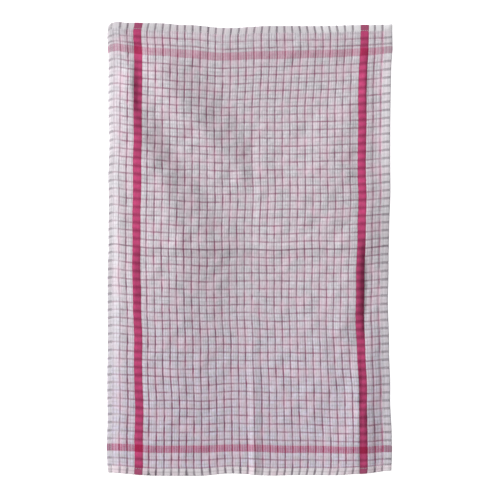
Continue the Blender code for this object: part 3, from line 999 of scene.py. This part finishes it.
def checked_cotton():
    """The woven check: white loops, wine lines, raspberry side stripes, thin pink end bands.

    The colour is laid on from the ground up, and the relief is that of the yarns: loops stand
    up over the cells, and the flat weave of the lines is finer.
    """
    material, inputs = cotton("checked cotton")
    tree = material.node_tree
    at = place_in_weave(tree)
    colour = white_ground(at)
    for layer in (margin_and_hem_ground, level_lines, end_bands, upright_lines, side_stripes):
        colour = layer(at, colour)
    feed(inputs["Base Color"], colour)

    loops = tree.nodes.new("ShaderNodeTexVoronoi")
    loops.inputs["Scale"].default_value = LOOPS_PER_MM
    loops.inputs["Randomness"].default_value = LOOP_UNEVENNESS
    feed(loops.inputs["Vector"], at.plan)
    loop_tops = maths("SUBTRACT", 1, Value(tree, loops.outputs["Distance"]))
    in_line = maths("MAXIMUM", at.upright, at.level)
    in_cell = maths("SUBTRACT", 1, in_line)
    bump = tree.nodes.new("ShaderNodeBump")
    bump.inputs["Strength"].default_value = RELIEF_STRENGTH
    bump.inputs["Distance"].default_value = RELIEF
    feed(bump.inputs["Height"], loop_tops * in_cell + at.over * in_line * LINE_RELIEF)
    tree.links.new(bump.outputs["Normal"], inputs["Normal"])
    return material


TWIST_SCALE, TWIST_UNEVENNESS = 900.0, 1.5


def sewing_thread():
    """White twisted cotton thread, with painted shade in slanting darker bands where its plies meet."""
    material, inputs = cotton("sewing thread")
    tree = material.node_tree
    place = tree.nodes.new("ShaderNodeTexCoord")
    twist = tree.nodes.new("ShaderNodeTexWave")
    twist.bands_direction = "DIAGONAL"
    twist.inputs["Scale"].default_value = TWIST_SCALE
    twist.inputs["Distortion"].default_value = TWIST_UNEVENNESS
    tree.links.new(place.outputs["Object"], twist.inputs["Vector"])
    # painted shade in the twist's bands
    feed(inputs["Base Color"], blend(Value(tree, twist.outputs["Fac"]), MOTTLE_AND_PLY_SHADE, WHITE_COTTON))
    return material


# ------ stage, light and camera
PIXEL = 0.7 / 450  # metres to a pixel of the photograph at the cloth
VIEW_WIDTH = 500 * PIXEL
CAMERA_HEIGHT = 2.6
SENSOR = 36.0
FRAME_MIDDLE = (-0.6 * PIXEL, -1.15 * PIXEL)  # what lies at the picture's middle
KEY_WAY = (-0.92, 0.39)  # the way to the key light, seen from above
KEY_ELEVATION = 24.0
KEY_DISTANCE = 10.0
KEY_WIDTH = 3.4
KEY_POWER = 1830.0
FILL = 0.37
WHITE = (1, 1, 1, 1)
FLOOR_TONE = (0.95, 0.95, 0.95, 1)
FLOOR_GLOW = 0.75  # light from the floor itself, so that shadows on it stay faint
FLOOR_HALF = 6000.0
FLOOR_DROP = 0.2  # how far the floor lies below the cloth, to keep the two apart


def make_floor():
    """A wide pale floor under the towel."""
    material = bpy.data.materials.new("pale floor")
    material.use_nodes = True
    shader = material.node_tree.nodes["Principled BSDF"]
    shader.inputs["Base Color"].default_value = FLOOR_TONE
    shader.inputs["Emission Color"].default_value = WHITE
    shader.inputs["Emission Strength"].default_value = FLOOR_GLOW
    shader.inputs["Roughness"].default_value = 0.9
    shader.inputs["Specular IOR Level"].default_value = 0.1
    ways = np.array([(-1, -1), (1, -1), (1, 1), (-1, 1)])
    corners = np.concatenate([FLOOR_HALF * ways, np.full((4, 1), -FLOOR_DROP)], axis=1)
    floor = new_piece("floor", corners, [(0, 1, 2, 3)], material)


def make_light():
    """A large key light far off to the left, low enough to rake the folds, and an even fill."""
    data = bpy.data.lights.new("key light", "AREA")
    data.shape = "DISK"
    data.size = KEY_WIDTH
    data.energy = KEY_POWER
    light = bpy.data.objects.new("key light", data)
    elevation = np.radians(KEY_ELEVATION)
    level = np.cos(elevation) / np.hypot(*KEY_WAY)
    place = KEY_DISTANCE * np.array([KEY_WAY[0] * level, KEY_WAY[1] * level, np.sin(elevation)])
    light.location = place
    light.rotation_euler = Vector(-place).to_track_quat("-Z", "Y").to_euler()
    bpy.context.scene.collection.objects.link(light)
    world = bpy.data.worlds.new("studio")
    world.use_nodes = True
    world.node_tree.nodes["Background"].inputs["Color"].default_value = WHITE
    world.node_tree.nodes["Background"].inputs["Strength"].default_value = FILL
    bpy.context.scene.world = world


def make_camera():
    """Straight above the towel, with the photograph's framing."""
    data = bpy.data.cameras.new("camera")
    data.sensor_width = SENSOR
    data.lens = SENSOR * CAMERA_HEIGHT / VIEW_WIDTH
    camera = bpy.data.objects.new("camera", data)
    camera.location = (*FRAME_MIDDLE, CAMERA_HEIGHT)
    bpy.context.scene.collection.objects.link(camera)
    bpy.context.scene.camera = camera


# ------ making it
make_camera()
make_light()
make_floor()
bpy.context.scene.view_settings.view_transform = "Standard"

layers = cloth_layers()
points, plan, faces = cloth_mesh(layers)
cloth = new_piece("towel", points, faces, checked_cotton())
add_plan_map(cloth, plan)
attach(cloth, "root")
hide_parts("towel_cloth")

stitching = new_piece("hem_stitching", *stitching_mesh(layers), sewing_thread())
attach(stitching, "root")
